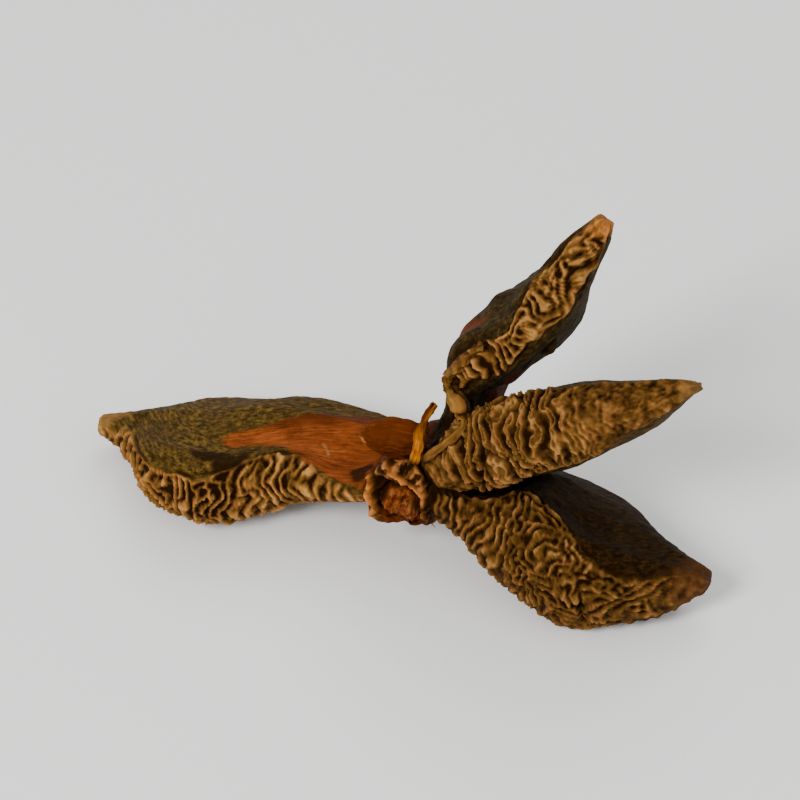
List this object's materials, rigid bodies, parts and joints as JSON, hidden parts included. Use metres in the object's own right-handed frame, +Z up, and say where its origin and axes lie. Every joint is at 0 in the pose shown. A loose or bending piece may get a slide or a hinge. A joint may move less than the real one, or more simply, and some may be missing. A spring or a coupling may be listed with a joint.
{
  "type": "broken star anise",
  "caption": "Broken piece of a dried star anise fruit: boat-shaped woody pods with wrinkled keels, still joined at the scarred hub.",
  "frame": {"origin": "on the surface that the piece rests on, under the middle of its bounding box", "axes": "+Z up; -Y towards the stalk scar and the wrinkled keels, +Y towards the split seams; +X towards the beaks of the three pods that are side by side, -X towards the beak of the single pod"},
  "size_m": [0.0314, 0.0162, 0.0188],
  "materials": {
    "dried_bark": "dry, wrinkled, matte with a dull sheen on the smooth flanks"
  },
  "bodies": {
    "root": {"star_anise": "dried_bark"}
  },
  "joints": []
}
